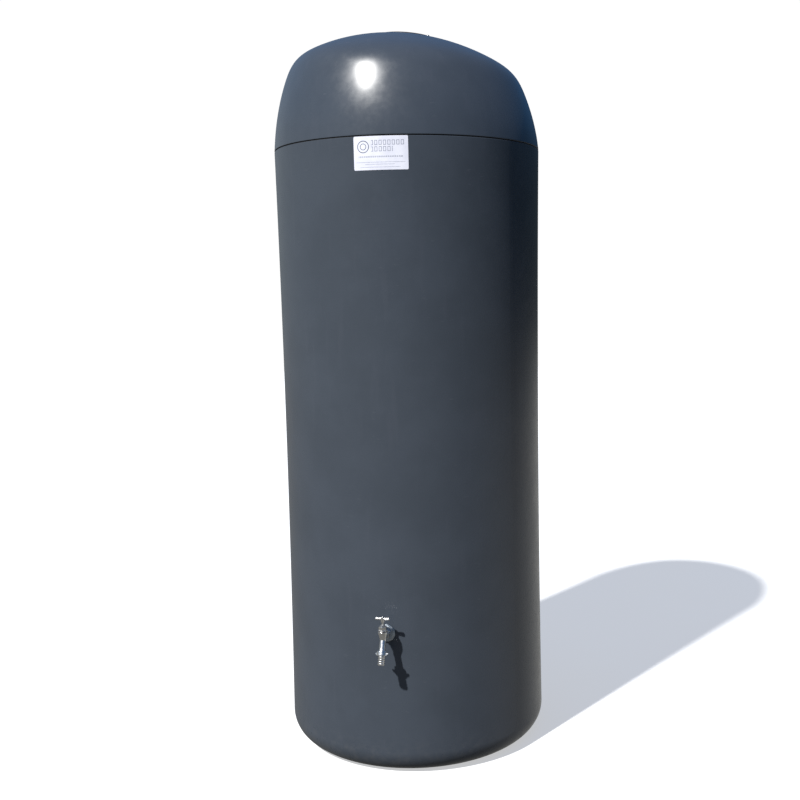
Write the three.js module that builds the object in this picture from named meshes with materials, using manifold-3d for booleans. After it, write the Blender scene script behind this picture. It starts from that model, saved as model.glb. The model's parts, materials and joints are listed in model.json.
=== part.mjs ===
// A slim round rain barrel of moulded polyethylene: a tall shell with a lift-off domed lid, a
// leaf strainer in the lid's crown, a garden tap low on the front and an overflow high on the back.
//
// Millimetres, +Z up. The origin is the centre of the flat base, on the ground. The tap faces -Y,
// the overflow faces +Y, and the lid slopes down towards +X.

import * as THREE from "three";
import { mergeVertices } from "three/addons/utils/BufferGeometryUtils.js";
import Module from "manifold-3d";

const wasm = await Module();
wasm.setup();

// ------------------------------------------------------------------ driving dimensions

const degree = Math.PI / 180;
const gap = 0.3; // left between two pieces that touch
const wall = 6; // moulded wall of the shell and the lid
const shellSegments = 40;
const smallSegments = 20;

// the shell
const seamRadius = 403.1; // outside, at the seam and at the foot
const waistRadius = 396.9; // outside, half way up
const shoulderHeight = 1818.4; // the ledge that carries the lid
const footRound = 72; // radius of the bottom edge
const ledge = 8; // how far the neck stands in from the seam
const neckHeight = 30;
const neckLean = 2.6; // how much narrower the neck's mouth is

// the lid: three arcs in a row, given by their radius and by how far the outline has turned
// inwards from the vertical where each one ends
const sealThickness = 2.6;
const sealInset = 2.2;
const lidRim = shoulderHeight + sealThickness + 2 * gap;
const lidLean = 3.9 * degree;
const lidFlankRadius = 660;
const lidFlankEnd = 22.8 * degree;
const lidBrowRadius = 107;
const lidBrowEnd = 60.4 * degree;
const lidSlope = 0.077; // fall of the crown towards +X
const crownSteps = 4;

// the leaf strainer, which lies square to the crown a little behind its middle
const seatSetback = 45;
const seatDepth = 11; // the flat land lies this far below the crown
const landRadius = 124;
const throatRadius = 94;
const inletRingRadius = 118;
const inletScrewCircle = 111;
const inletScrews = 4;
const basketRadius = 87.5;
const basketFootRadius = 77.5;
const basketDepth = 104;
const basketRibs = 8;
const seatSegments = 32;

// the label
const labelWidth = 150;
const labelHeight = 90;
const labelOffset = 15; // its middle, towards +X of the tap
const labelThickness = 0.5;

// the tap: its spindle stands this far out from the wall, over an inlet at this height
const tapHeight = 432;
const tapStandoff = 47;
const legLean = 24 * degree; // its leg stands out from the spindle's line, away from the wall
const legPivot = -2; // where the two lines cross, above or below the inlet
const teeLength = 44;
const teeTurn = -3 * degree;
const stemTop = 54.5; // top of the spindle, inside the tee
const wingSpan = 42;
const wingTurn = -20 * degree;
const outletThread = 13.2; // radius of the fitting that passes through the wall
const inletThread = 10.4; // radius of the tap's own thread
const unionThread = 12.2;
const hoseRadius = 10.4; // over the barbs
const hoseBarbs = 4;
const barbPitch = 6;
const spindleRadius = 2.9;

// the overflow
const overflowHeight = 1720;
const overflowRadius = 25;
const overflowBore = 21.5;
const overflowReach = 42;

// ------------------------------------------------------------------ shapes

/** A turned shape about Z, from an outline of [radius, height] that runs anticlockwise. */
function turned(outline, segments = smallSegments) {
  const points = outline.map(([radius, height]) => new THREE.Vector2(radius, height));
  return new THREE.LatheGeometry(points, segments).rotateX(Math.PI / 2);
}

/** A turned shape with a hole right through, whose outline closes on itself. */
function turnedRing(outline, segments = smallSegments) {
  return turned([...outline, outline[0]], segments);
}

function rod(radius, low, high, segments = smallSegments) {
  return turned([[0, low], [radius, low], [radius, high], [0, high]], segments);
}

function sleeve(inner, outer, low, high, segments = smallSegments) {
  return turnedRing([[inner, low], [outer, low], [outer, high], [inner, high]], segments);
}

function hexagon(acrossFlats, low, high) {
  return rod(acrossFlats / Math.sqrt(3), low, high, 6);
}

/** Turns a shape made about Z so that it lies along +Y. */
function alongY(geometry) {
  return geometry.rotateX(-Math.PI / 2);
}

/** A closed geometry as a solid that can be joined and cut. */
function solid(geometry) {
  const bare = geometry.index ? geometry.toNonIndexed() : geometry.clone();
  bare.deleteAttribute("normal");
  bare.deleteAttribute("uv");
  const merged = mergeVertices(bare, 1e-3);
  const corners = merged.index.array;
  const triangles = [];
  for (let i = 0; i < corners.length; i += 3) {
    const [a, b, c] = corners.slice(i, i + 3);
    if (a !== b && b !== c && c !== a) triangles.push(a, b, c);
  }
  return new wasm.Manifold(
    new wasm.Mesh({
      numProp: 3,
      vertProperties: new Float32Array(merged.attributes.position.array),
      triVerts: new Uint32Array(triangles),
    }),
  );
}

function geometryOf(manifold) {
  const mesh = manifold.getMesh();
  const geometry = new THREE.BufferGeometry();
  geometry.setAttribute("position", new THREE.BufferAttribute(mesh.vertProperties, 3));
  geometry.setIndex(new THREE.BufferAttribute(mesh.triVerts, 1));
  geometry.computeVertexNormals();
  return geometry;
}

function joined(...geometries) {
  return geometryOf(geometries.map(solid).reduce((all, next) => all.add(next)));
}

function cut(geometry, ...tools) {
  return geometryOf(tools.map(solid).reduce((rest, tool) => rest.subtract(tool), solid(geometry)));
}

function common(geometry, other) {
  return geometryOf(solid(geometry).intersect(solid(other)));
}

// ------------------------------------------------------------------ materials

function material(color, roughness, metalness = 0) {
  return new THREE.MeshStandardMaterial({ color, roughness, metalness });
}

const slatePolyethylene = material(0x4b515c, 0.42);
const nickel = material(0xc9cbc8, 0.2, 1);
const satinNickel = material(0x9aa6b0, 0.35, 1);
const rubber = material(0x1b1c1e, 0.85);
const fibre = material(0x3a3330, 0.9);
const paper = material(0xe6e7f2, 0.5);
const blackPlastic = material(0x1f2124, 0.55);
const greyPlastic = material(0x8f9498, 0.5);
const stainless = material(0xa9abac, 0.35, 1);

// ------------------------------------------------------------------ the shell

/** The outside radius of the shell, which is drawn in slightly to a waist half way up. */
function shellRadius(height) {
  const fromMiddle = (2 * height) / shoulderHeight - 1;
  return waistRadius + (seamRadius - waistRadius) * fromMiddle ** 2;
}

/** The shell's outline from the middle of its base, over the neck and back down inside. */
function shellOutline(swell = 0) {
  const footSteps = 5;
  const wallSteps = 5;
  const footRadius = shellRadius(footRound) - footRound;
  const outside = [];
  for (let i = 0; i <= footSteps; i++) {
    const turn = (i / footSteps) * 90 * degree;
    const reach = (footRound + swell) * Math.sin(turn);
    outside.push([footRadius + reach, footRound - (footRound + swell) * Math.cos(turn)]);
  }
  for (let i = 1; i <= wallSteps; i++) {
    const height = footRound + ((shoulderHeight - footRound) * i) / wallSteps;
    outside.push([shellRadius(height) + swell, height]);
  }
  const neckRadius = seamRadius - ledge;
  const mouth = shoulderHeight + neckHeight;
  const neck = [
    [neckRadius + swell, shoulderHeight],
    [neckRadius - neckLean + swell, mouth],
    [neckRadius - neckLean - wall - swell, mouth],
    [neckRadius - wall - swell, shoulderHeight - wall],
    [shellRadius(shoulderHeight) - wall - swell, shoulderHeight - 2 * wall],
  ];
  const inside = [];
  const innerRound = footRound - wall;
  for (let i = wallSteps - 1; i >= 1; i--) {
    const height = footRound + ((shoulderHeight - footRound) * i) / wallSteps;
    inside.push([shellRadius(height) - wall - swell, height]);
  }
  for (let i = footSteps; i >= 0; i--) {
    const turn = (i / footSteps) * 90 * degree;
    const reach = (innerRound - swell) * Math.sin(turn);
    inside.push([footRadius + reach, footRound - (innerRound - swell) * Math.cos(turn)]);
  }
  return [[0, -swell], ...outside, ...neck, ...inside, [0, wall + swell]];
}

/** The shell, bored for the tap at the front and the overflow at the back. */
function barrelShell() {
  const tapHole = alongY(rod(outletThread + 0.4, -seamRadius - 10, -seamRadius / 2));
  tapHole.translate(0, 0, tapHeight);
  const overflowHole = alongY(rod(overflowRadius + 0.5, seamRadius / 2, seamRadius + 10));
  overflowHole.translate(0, 0, overflowHeight);
  return cut(turned(shellOutline(), shellSegments), tapHole, overflowHole);
}

/** The shell with its wall thickened by the gap, to cut a seat in a piece that lies against it. */
function shellSeat() {
  return turned(shellOutline(gap), shellSegments);
}

/** A thin sheet bent to the wall, with its top edge just under the seam. */
function label() {
  const sheet = turned(shellOutline(gap + labelThickness), shellSegments);
  const outline = new THREE.BoxGeometry(labelWidth, seamRadius, labelHeight);
  const top = shoulderHeight - 0.5;
  outline.translate(labelOffset, -seamRadius, top - labelHeight / 2);
  const inside = rod(seamRadius - wall / 2, top - 2 * labelHeight, top + wall, shellSegments);
  return cut(common(sheet, outline), shellSeat(), inside);
}

function lidSeal() {
  const inner = seamRadius - wall - 0.5;
  const low = shoulderHeight + gap;
  return sleeve(inner, seamRadius - sealInset, low, low + sealThickness, shellSegments);
}

// ------------------------------------------------------------------ the lid

/** The lid's outline outside, from the rim to the axis, with the heading at each point. */
function lidCurve() {
  const points = [{ radius: seamRadius, height: lidRim, heading: lidLean }];
  const sweep = (arcRadius, end, steps) => {
    const start = points.at(-1);
    for (let i = 1; i <= steps; i++) {
      const heading = start.heading + ((end - start.heading) * i) / steps;
      points.push({
        radius: start.radius - arcRadius * (Math.cos(start.heading) - Math.cos(heading)),
        height: start.height + arcRadius * (Math.sin(heading) - Math.sin(start.heading)),
        heading,
      });
    }
  };
  sweep(lidFlankRadius, lidFlankEnd, 4);
  sweep(lidBrowRadius, lidBrowEnd, 3);
  sweep(points.at(-1).radius / Math.cos(lidBrowEnd), 90 * degree, crownSteps);
  return points;
}

const lidPoints = lidCurve();
const lidTop = lidPoints.at(-1).height;
const crownRadius = lidPoints.at(-1 - crownSteps).radius / Math.cos(lidBrowEnd);

/** Tips the lid's crown down towards +X, by nothing at the rim and in full at the top. */
function sloped(geometry) {
  const place = geometry.attributes.position;
  for (let i = 0; i < place.count; i++) {
    const rise = THREE.MathUtils.clamp((place.getZ(i) - lidRim) / (lidTop - lidRim), 0, 1);
    const share = 1 - (1 - rise) ** 2;
    place.setZ(i, place.getZ(i) - lidSlope * place.getX(i) * share);
  }
  return geometry;
}

function domeShell() {
  const outside = lidPoints.map(({ radius, height }) => [radius, height]);
  const inside = lidPoints.map(({ radius, height, heading }) => [
    radius - wall * Math.cos(heading),
    Math.max(height - wall * Math.sin(heading), lidRim),
  ]);
  outside.at(-1)[0] = 0;
  inside.at(-1)[0] = 0;
  return sloped(turned([...inside.reverse(), ...outside], shellSegments));
}

// where the strainer sits: a point on the crown and the direction square to it there
const seatFall = seatSetback / Math.sqrt(crownRadius ** 2 - seatSetback ** 2);
const seatNormal = new THREE.Vector3(lidSlope, seatFall, 1).normalize();
const seatTop = lidTop - crownRadius + Math.sqrt(crownRadius ** 2 - seatSetback ** 2);
const seatTurn = new THREE.Quaternion().setFromUnitVectors(new THREE.Vector3(0, 0, 1), seatNormal);
const seatPlace = new THREE.Matrix4().compose(
  new THREE.Vector3(0, seatSetback, seatTop),
  seatTurn,
  new THREE.Vector3(1, 1, 1),
);

/** Places a shape made about Z, with the crown at height 0, on the strainer's seat. */
function onSeat(geometry) {
  return geometry.applyMatrix4(seatPlace);
}

/** A screw's place on the inlet ring, still in the seat's own frame. */
function atInletScrew(geometry, index) {
  const turn = ((index + 0.5) / inletScrews) * 360 * degree;
  const x = inletScrewCircle * Math.cos(turn);
  return geometry.translate(x, inletScrewCircle * Math.sin(turn), 0);
}

/** The domed lid, with a flat land round the throat that the strainer drops into. */
function domeLid() {
  const land = sleeve(throatRadius, landRadius, -seatDepth - 10, -seatDepth, seatSegments);
  const clear = rod(landRadius, -seatDepth, 2 * wall, seatSegments);
  const throat = rod(throatRadius, -4 * wall, 2 * wall, seatSegments);
  const holes = [];
  for (let i = 0; i < inletScrews; i++) {
    holes.push(onSeat(atInletScrew(rod(2.4, -seatDepth - 20, 0, 8), i)));
  }
  const dome = joined(domeShell(), onSeat(land));
  return cut(dome, onSeat(clear), onSeat(throat), ...holes);
}

/** The ring screwed down on the land, with a rebate that carries the basket's flange. */
function inletRing() {
  const low = -seatDepth + gap;
  const ring = turnedRing(
    [
      [90, low],
      [inletRingRadius, low],
      [inletRingRadius, low + 4.5],
      [inletRingRadius - 1.5, low + 6],
      [103.7, low + 6],
      [103.7, low + 3],
      [90, low + 3],
    ],
    seatSegments,
  );
  const holes = [];
  for (let i = 0; i < inletScrews; i++) holes.push(atInletScrew(rod(2.4, -20, 0, 8), i));
  return onSeat(cut(ring, ...holes));
}

function inletScrew(index) {
  const head = -seatDepth + 6 + 2 * gap;
  const screw = turned(
    [[0, head - 15], [2, head - 14], [2, head], [4, head], [3.6, head + 1.6], [0, head + 2.2]],
    8,
  );
  return onSeat(atInletScrew(screw, index));
}

/** The radius of the basket's outside at a depth below the crown. */
function basketRadiusAt(depth) {
  return basketRadius + ((basketFootRadius - basketRadius) * depth) / basketDepth;
}

/** The basket's moulded frame: flange, skirt, ribs, foot ring and a cross that stiffens it. */
function strainerBasket() {
  const flangeLow = -seatDepth + 3 + 2 * gap;
  const skirt = turnedRing(
    [
      [basketRadius - 2.5, flangeLow - 12],
      [basketRadius, flangeLow - 12],
      [basketRadius, flangeLow],
      [103.4, flangeLow],
      [103.4, flangeLow + 2.5],
      [basketRadius - 2.5, flangeLow + 2.5],
    ],
    seatSegments,
  );
  const foot = sleeve(basketFootRadius - 8, basketFootRadius, -basketDepth, 4 - basketDepth, seatSegments);
  const side = new THREE.Shape();
  side.moveTo(basketRadiusAt(15) - 2.5, -15);
  side.lineTo(basketRadiusAt(15), -15);
  side.lineTo(basketRadiusAt(basketDepth), 1 - basketDepth);
  side.lineTo(basketRadiusAt(basketDepth) - 2.5, 1 - basketDepth);
  const pieces = [skirt, foot];
  for (let i = 0; i < basketRibs; i++) {
    const rib = new THREE.ExtrudeGeometry(side, { depth: 5, bevelEnabled: false });
    pieces.push(rib.translate(0, 0, -2.5).rotateX(Math.PI / 2).rotateZ((i / basketRibs) * 360 * degree));
  }
  for (const turn of [0, 90 * degree]) {
    const bar = new THREE.BoxGeometry(2 * basketFootRadius - 6, 5, 4);
    pieces.push(bar.translate(0, 0, 2 - basketDepth).rotateZ(turn));
  }
  return onSeat(joined(...pieces));
}

/** The fine mesh inside the basket, as a thin cup. */
function strainerMesh() {
  const low = 4 - basketDepth + gap;
  const high = -seatDepth + 3;
  const collar = 9;
  const top = basketRadiusAt(collar - high) - 2.5 - gap;
  const bottom = basketRadiusAt(-low) - 2.5 - gap;
  return onSeat(
    turned(
      [
        [0, low],
        [bottom, low],
        [top, high - collar],
        [top, high],
        [top - 1, high],
        [top - 1, high - collar],
        [bottom - 1, low + 1],
        [0, low + 1],
      ],
      seatSegments,
    ),
  );
}

// ------------------------------------------------------------------ the outlet through the wall
//
// From here to the tap, shapes are made about a line or point of the tap: the spindle stands on
// the local Z axis, the inlet comes in along local +Y, and the wall is tapStandoff away. What
// belongs to the leg is made about the same Z axis and then leant out.

const wallFace = tapStandoff;
const tapPlace = new THREE.Vector3(0, -shellRadius(tapHeight) - tapStandoff, tapHeight);

function onTap(geometry) {
  return geometry.translate(tapPlace.x, tapPlace.y, tapPlace.z);
}

/** Leans a shape made about the spindle's line out to the leg's line. */
function leant(geometry) {
  return geometry.translate(0, 0, -legPivot).rotateX(-legLean).translate(0, 0, legPivot);
}

function onLeg(geometry) {
  return onTap(leant(geometry));
}

/** The flanged fitting that the tap screws into. */
function outletFitting() {
  const body = joined(
    rod(25, wallFace - 7.8, wallFace - 3.4),
    rod(outletThread, wallFace - 5, wallFace + 23),
    hexagon(29, wallFace - 16, wallFace - 7),
  );
  return onTap(alongY(cut(body, rod(inletThread + gap, wallFace - 20, wallFace + 30))));
}

/** A washer between the wall and what is drawn up against it, bedded on the round wall. */
function outletWasher(low, high) {
  const washer = sleeve(outletThread + 0.4, 23, low, high);
  return cut(onTap(alongY(washer)), shellSeat());
}

function backnut(acrossFlats, bore, low, high) {
  return alongY(cut(hexagon(acrossFlats, low, high), rod(bore, low - 1, high + 1)));
}

// ------------------------------------------------------------------ the tap

/** The tap's body: a funnel over a leaning leg, a side inlet, and the seat inside. */
function tapBody() {
  const funnel = turned([
    [0, -13.5],
    [7.6, -13.5],
    [9.3, -11.5],
    [9.6, -2],
    [13.9, 15],
    [13.9, 20],
    [0, 20],
  ]);
  const leg = turned([
    [0, -43],
    [unionThread, -43],
    [unionThread, -36],
    [9.2, -34.5],
    [8.8, -30],
    [8.8, 4],
    [0, 4],
  ]);
  const inlet = alongY(rod(9.2, 0, wallFace - 13));
  const flats = alongY(hexagon(20.5, wallFace - 26, wallFace - 17));
  const thread = alongY(rod(inletThread, wallFace - 15, wallFace + 9));
  const headway = turned([
    [0, -12.5],
    [5, -12.5],
    [5, -7],
    [7.4, -7],
    [7.4, -1],
    [10.6, 8],
    [10.6, 21],
    [0, 21],
  ]);
  const legBore = leant(rod(6.5, -44, -11));
  const inletBore = alongY(rod(6.4, 0, wallFace + 10));
  return onTap(cut(joined(funnel, leant(leg), inlet, flats, thread), headway, legBore, inletBore));
}

/** The headworks: a threaded spigot down into the body under a hexagon. */
function tapBonnet() {
  const outside = joined(rod(10.2, 9, 23), rod(13.6, 22.3, 24.5), hexagon(21, 24, 34.5));
  const inside = turned([
    [0, 8],
    [spindleRadius + 2.4, 8],
    [spindleRadius + 2.4, 28.5],
    [spindleRadius + 0.4, 28.5],
    [spindleRadius + 0.4, 30],
    [spindleRadius + 1.8, 30],
    [spindleRadius + 1.8, 35],
    [0, 35],
  ]);
  return onTap(cut(outside, inside));
}

function glandNut() {
  const nut = joined(rod(spindleRadius + 1.5, 32.5, 36), hexagon(12, 34.8, 38.6));
  return onTap(cut(nut, rod(spindleRadius + gap, 32, 39)));
}

/** The spindle, drilled below for the valve's stem and above for the handle's screw. */
function spindle() {
  return onTap(
    turned([
      [0, 6],
      [2.7, 6],
      [2.7, -1.4],
      [5, -1.4],
      [5, 23.5],
      [spindleRadius, 24.5],
      [spindleRadius, stemTop],
      [2, stemTop],
      [2, stemTop - 8],
      [0, stemTop - 8],
    ]),
  );
}

/** The disc that carries the seat washer, on a stem that turns freely in the spindle. */
function valveDisc() {
  return onTap(
    turned([
      [0, -6],
      [1.3, -6],
      [1.3, -3.9],
      [6.6, -3.9],
      [6.6, -1.7],
      [2.4, -1.7],
      [2.4, 5.7],
      [0, 5.7],
    ]),
  );
}

/** The tee handle: a boss on the spindle with two arms that thicken to rounded ends. */
function teeHandle() {
  const half = teeLength / 2;
  const bar = turned([
    [0, -half],
    [3.4, 1 - half],
    [4.7, 4 - half],
    [3.9, 6 - half / 2],
    [3.7, 0],
    [3.9, half / 2 - 6],
    [4.7, half - 4],
    [3.4, half - 1],
    [0, half],
  ], 16);
  bar.rotateY(Math.PI / 2).rotateZ(teeTurn).translate(0, 0, stemTop + 1.5);
  const boss = rod(5.4, stemTop - 10, stemTop + 6.2);
  const socket = rod(spindleRadius + gap, stemTop - 11, stemTop + 1);
  return onTap(cut(joined(boss, bar), socket, rod(2, stemTop, stemTop + 7)));
}

function handleScrew() {
  const head = stemTop + 6.5;
  return onTap(
    turned([
      [0, stemTop - 7],
      [1.7, stemTop - 7],
      [1.7, head],
      [3.2, head],
      [2.6, head + 1.4],
      [0, head + 1.9],
    ]),
  );
}

/** The union nut, with two wings to turn it by. */
function unionNut() {
  const outer = unionThread + 2.4;
  const barrel = turnedRing([
    [hoseRadius + 0.4, -49.6],
    [outer - 1, -49.6],
    [outer, -48.6],
    [outer, -36.5],
    [outer - 1, -35.5],
    [unionThread + 0.4, -35.5],
    [unionThread + 0.4, -47.4],
    [hoseRadius + 0.4, -47.4],
  ]);
  const half = wingSpan / 2;
  const wing = new THREE.Shape();
  wing.moveTo(outer - 1.2, -48.5);
  wing.lineTo(outer + 0.4, -48.5);
  wing.quadraticCurveTo(half - 0.5, -45.5, half, -42.5);
  wing.quadraticCurveTo(half, -40.5, half - 2, -40.5);
  wing.lineTo(outer - 1.2, -40.5);
  const pieces = [barrel];
  for (const turn of [wingTurn, wingTurn + Math.PI]) {
    const blade = new THREE.ExtrudeGeometry(wing, { depth: 4, bevelEnabled: false, curveSegments: 4 });
    pieces.push(blade.translate(0, 0, -2).rotateX(Math.PI / 2).rotateZ(turn));
  }
  return onLeg(joined(...pieces));
}

/** The hose tail: a flange held by the union nut, and a barbed spigot that a hose pushes onto. */
function hoseTail() {
  const barbTop = -51.5;
  const root = hoseRadius - 1.6;
  const barbs = [];
  for (let i = hoseBarbs; i >= 1; i--) {
    const low = barbTop - barbPitch * i;
    barbs.push([root, low], [hoseRadius, low + barbPitch - 1.6], [root, low + barbPitch - 0.6]);
  }
  return onLeg(
    turnedRing([
      [7.2, barbTop - barbPitch * hoseBarbs],
      ...barbs,
      [root + 0.4, -47.1],
      [unionThread, -47.1],
      [unionThread, -45.3],
      [7.2, -45.3],
    ]),
  );
}

// ------------------------------------------------------------------ the overflow
//
// Shapes are made about Z from the wall's outer face outwards, then laid along +Y.

function onOverflow(geometry) {
  return alongY(geometry).translate(0, shellRadius(overflowHeight), overflowHeight);
}

function overflowBody() {
  const body = joined(
    rod(overflowRadius, -24, overflowReach),
    turned([[0, 3.4], [38, 3.4], [38, 6], [36.5, 7.6], [0, 7.6]]),
  );
  return onOverflow(cut(body, rod(overflowBore, -25, overflowReach + 1)));
}

function overflowWasher(low, high) {
  return cut(onOverflow(sleeve(overflowRadius + 0.5, 36, low, high)), shellSeat());
}

function overflowBacknut() {
  const nut = cut(hexagon(66, -19, -9.4), rod(overflowRadius + 0.4, -20, -8));
  return onOverflow(nut);
}

/** A disc of stout mesh with a hexagonal pattern of holes. */
function overflowScreen() {
  const pitch = 8;
  const holes = [];
  for (let row = -2; row <= 2; row++) {
    const count = 5 - Math.abs(row);
    for (let i = 0; i < count; i++) {
      const hole = rod(3.1, 40, 46, 6);
      const across = (i - (count - 1) / 2) * pitch;
      holes.push(hole.translate(across, (row * pitch * Math.sqrt(3)) / 2, 0));
    }
  }
  const low = overflowReach + gap;
  return onOverflow(cut(rod(overflowRadius - 0.3, low, low + 1), ...holes));
}

function overflowScreenRing() {
  const lip = overflowReach + 1 + 2 * gap;
  const outer = overflowRadius + 3.5;
  return onOverflow(
    turnedRing([
      [overflowRadius + 0.4, lip - 14],
      [outer, lip - 14],
      [outer, lip + 1],
      [outer - 1, lip + 2],
      [overflowBore, lip + 2],
      [overflowBore, lip],
      [overflowRadius + 0.4, lip],
    ]),
  );
}

// ------------------------------------------------------------------ the assembly

const rainBarrel = new THREE.Group();

function add(name, geometry, finish) {
  const mesh = new THREE.Mesh(geometry, finish);
  mesh.name = name;
  rainBarrel.add(mesh);
}

add("barrel_shell", barrelShell(), slatePolyethylene);
add("barrel_label", label(), paper);
add("lid_seal", lidSeal(), rubber);
add("dome_lid", domeLid(), slatePolyethylene);

add("inlet_ring", inletRing(), blackPlastic);
for (let i = 0; i < inletScrews; i++) add(`inlet_screw_${i + 1}`, inletScrew(i), stainless);
add("strainer_basket", strainerBasket(), blackPlastic);
add("strainer_mesh", strainerMesh(), stainless);

add("outlet_fitting", outletFitting(), satinNickel);
add("outlet_outer_washer", outletWasher(wallFace - 3.1, wallFace + 3), rubber);
add("outlet_inner_washer", outletWasher(wallFace + 3, wallFace + 9.1), rubber);
add("outlet_backnut", onTap(backnut(40, outletThread + gap, wallFace + 9.4, wallFace + 18)), satinNickel);

add("tap_body", tapBody(), nickel);
add("bonnet_washer", onTap(sleeve(10.6, 13.4, 20.3, 22)), fibre);
add("tap_bonnet", tapBonnet(), nickel);
add("gland_packing", onTap(sleeve(spindleRadius + gap, spindleRadius + 1.5, 30.3, 32.2)), rubber);
add("gland_nut", glandNut(), nickel);
add("spindle", spindle(), nickel);
add("tee_handle", teeHandle(), nickel);
add("handle_screw", handleScrew(), stainless);
add("valve_disc", valveDisc(), nickel);
add("seat_washer", onTap(sleeve(1.6, 6.4, -6.7, -4.2)), rubber);
add("union_nut", unionNut(), nickel);
add("tail_washer", onLeg(sleeve(7.2, unionThread - 0.2, -45, -43.3)), rubber);
add("hose_tail", hoseTail(), nickel);

add("overflow_body", overflowBody(), greyPlastic);
add("overflow_outer_washer", overflowWasher(-3, 3.1), rubber);
add("overflow_inner_washer", overflowWasher(-9.1, -3), rubber);
add("overflow_backnut", overflowBacknut(), greyPlastic);
add("overflow_screen", overflowScreen(), stainless);
add("overflow_screen_ring", overflowScreenRing(), greyPlastic);

export default rainBarrel;
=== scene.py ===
"""Looks for a slim round rain barrel: shell, domed lid, strainer, garden tap and overflow.

Lengths inside each piece are in millimetres, as on a drawing, and MM turns them into metres.
Places come from the frame: the box of each CAD node and the axes of its joints.
"""

import json
import math

import bmesh
import bpy
from mathutils import Matrix, Vector


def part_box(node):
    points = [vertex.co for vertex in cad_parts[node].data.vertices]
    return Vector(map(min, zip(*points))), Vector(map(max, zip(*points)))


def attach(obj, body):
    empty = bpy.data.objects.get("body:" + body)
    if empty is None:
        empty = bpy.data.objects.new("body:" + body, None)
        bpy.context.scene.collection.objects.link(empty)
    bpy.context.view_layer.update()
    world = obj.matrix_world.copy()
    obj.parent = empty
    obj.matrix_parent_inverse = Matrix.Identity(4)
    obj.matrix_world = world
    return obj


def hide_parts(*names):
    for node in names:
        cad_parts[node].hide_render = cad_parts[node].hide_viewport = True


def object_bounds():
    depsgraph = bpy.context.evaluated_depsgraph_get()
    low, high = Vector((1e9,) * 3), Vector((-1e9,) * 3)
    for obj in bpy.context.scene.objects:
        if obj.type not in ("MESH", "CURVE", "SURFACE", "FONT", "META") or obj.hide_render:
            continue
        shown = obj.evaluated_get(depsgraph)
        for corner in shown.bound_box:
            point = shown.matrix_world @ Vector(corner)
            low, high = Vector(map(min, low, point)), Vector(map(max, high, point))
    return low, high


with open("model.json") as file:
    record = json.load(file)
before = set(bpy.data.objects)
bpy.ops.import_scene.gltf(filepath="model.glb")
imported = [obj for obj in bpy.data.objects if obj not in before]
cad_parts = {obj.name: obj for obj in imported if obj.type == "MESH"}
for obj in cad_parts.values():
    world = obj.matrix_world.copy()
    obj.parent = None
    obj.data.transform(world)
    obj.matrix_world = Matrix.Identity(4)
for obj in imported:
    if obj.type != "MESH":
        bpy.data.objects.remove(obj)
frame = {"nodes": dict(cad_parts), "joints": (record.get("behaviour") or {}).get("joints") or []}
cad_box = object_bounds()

MM = 0.001
TURN = 2 * math.pi
scene = bpy.context.scene


# ---- places, from the frame


def span(node):
    """A CAD node's box in millimetres."""
    low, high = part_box(node)
    return low / MM, high / MM


def joint_axis(name):
    found = next(j for j in frame["joints"] if j["name"] == name)
    return Vector(found["axis"]).normalized()


def middle(node):
    low, high = span(node)
    return (low + high) / 2


shell_high = span("barrel_shell")[1]
lid_low = span("dome_lid")[0]
seal_low, seal_high = span("lid_seal")

GAP = 0.3
SEAM_RADIUS = shell_high.x
SHOULDER = seal_low.z - GAP
NECK_TOP = shell_high.z
LID_RIM = lid_low.z
WALL = 6.0
WAIST_RADIUS = SEAM_RADIUS - 6.2
FOOT_ROUND = 72.0
LEDGE = 8.0
NECK_LEAN = 2.6

LID_LEAN = math.radians(3.9)
LID_FLANK_RADIUS = 660.0
LID_FLANK_END = math.radians(22.8)
LID_BROW_RADIUS = 107.0
LID_BROW_END = math.radians(60.4)
LID_SLOPE = 0.077

TAP = Vector((middle("outlet_fitting").x, middle("spindle").y, middle("outlet_fitting").z))
WALL_FACE = 47.0
LEG_LEAN = math.asin(-joint_axis("tail_drop").y)
LEG_PIVOT = -2.0
STEM_TOP = 54.5
TEE_TURN = math.radians(-3)
WING_TURN = math.radians(-20)
OVERFLOW = middle("overflow_body")


def shell_radius(height):
    from_middle = 2 * height / SHOULDER - 1
    return WAIST_RADIUS + (SEAM_RADIUS - WAIST_RADIUS) * from_middle**2


# Heights in the crown are counted from the point where the strainer's axis meets its surface.
THROAT_RADIUS, RECESS_RADIUS, SCREW_CIRCLE = 94, 124, 111
SEAT_FLOOR = -11
RING_FOOT = SEAT_FLOOR + GAP
RING_LEDGE = RING_FOOT + 3
RING_TOP = RING_FOOT + 6
SEAT_NORMAL = joint_axis("strainer_lift")
SEAT_POINT = middle("inlet_ring") - SEAT_NORMAL * (RING_FOOT + RING_TOP) / 2


# ---- mesh building


def new_object(name, mesh):
    made = bpy.data.objects.new(name, mesh)
    scene.collection.objects.link(made)
    return made


def finished(name, build):
    """An object from a mesh under construction, which is used up."""
    mesh = bpy.data.meshes.new(name)
    build.to_mesh(mesh)
    build.free()
    return new_object(name, mesh)


def smooth(mesh, angle=32):
    mesh.shade_smooth()
    mesh.set_sharp_from_angle(angle=math.radians(angle))


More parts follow.
